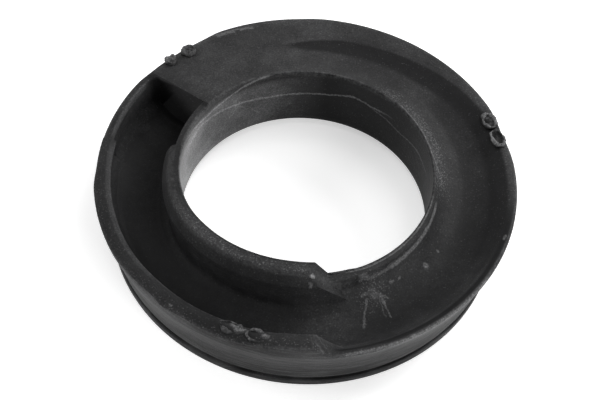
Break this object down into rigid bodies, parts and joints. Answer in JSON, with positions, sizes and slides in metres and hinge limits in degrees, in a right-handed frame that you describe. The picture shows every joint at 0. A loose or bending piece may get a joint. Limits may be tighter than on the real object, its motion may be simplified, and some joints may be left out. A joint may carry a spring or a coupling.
{
  "type": "coil spring insulator",
  "caption": "Moulded rubber seat ring for the end of a coil spring, with a climbing channel for the wire, a stop face and retaining lips.",
  "frame": {"origin": "centre of the ring's flat base, on the axis of the bore", "axes": "+Z along the bore axis from the base to the channel; the picture looks along +Y and down, with +X to its right"},
  "size_m": [0.136, 0.136, 0.0346],
  "materials": {
    "rubber": "satin black moulded rubber"
  },
  "bodies": {
    "root": {"spring_insulator": "rubber"}
  },
  "joints": []
}
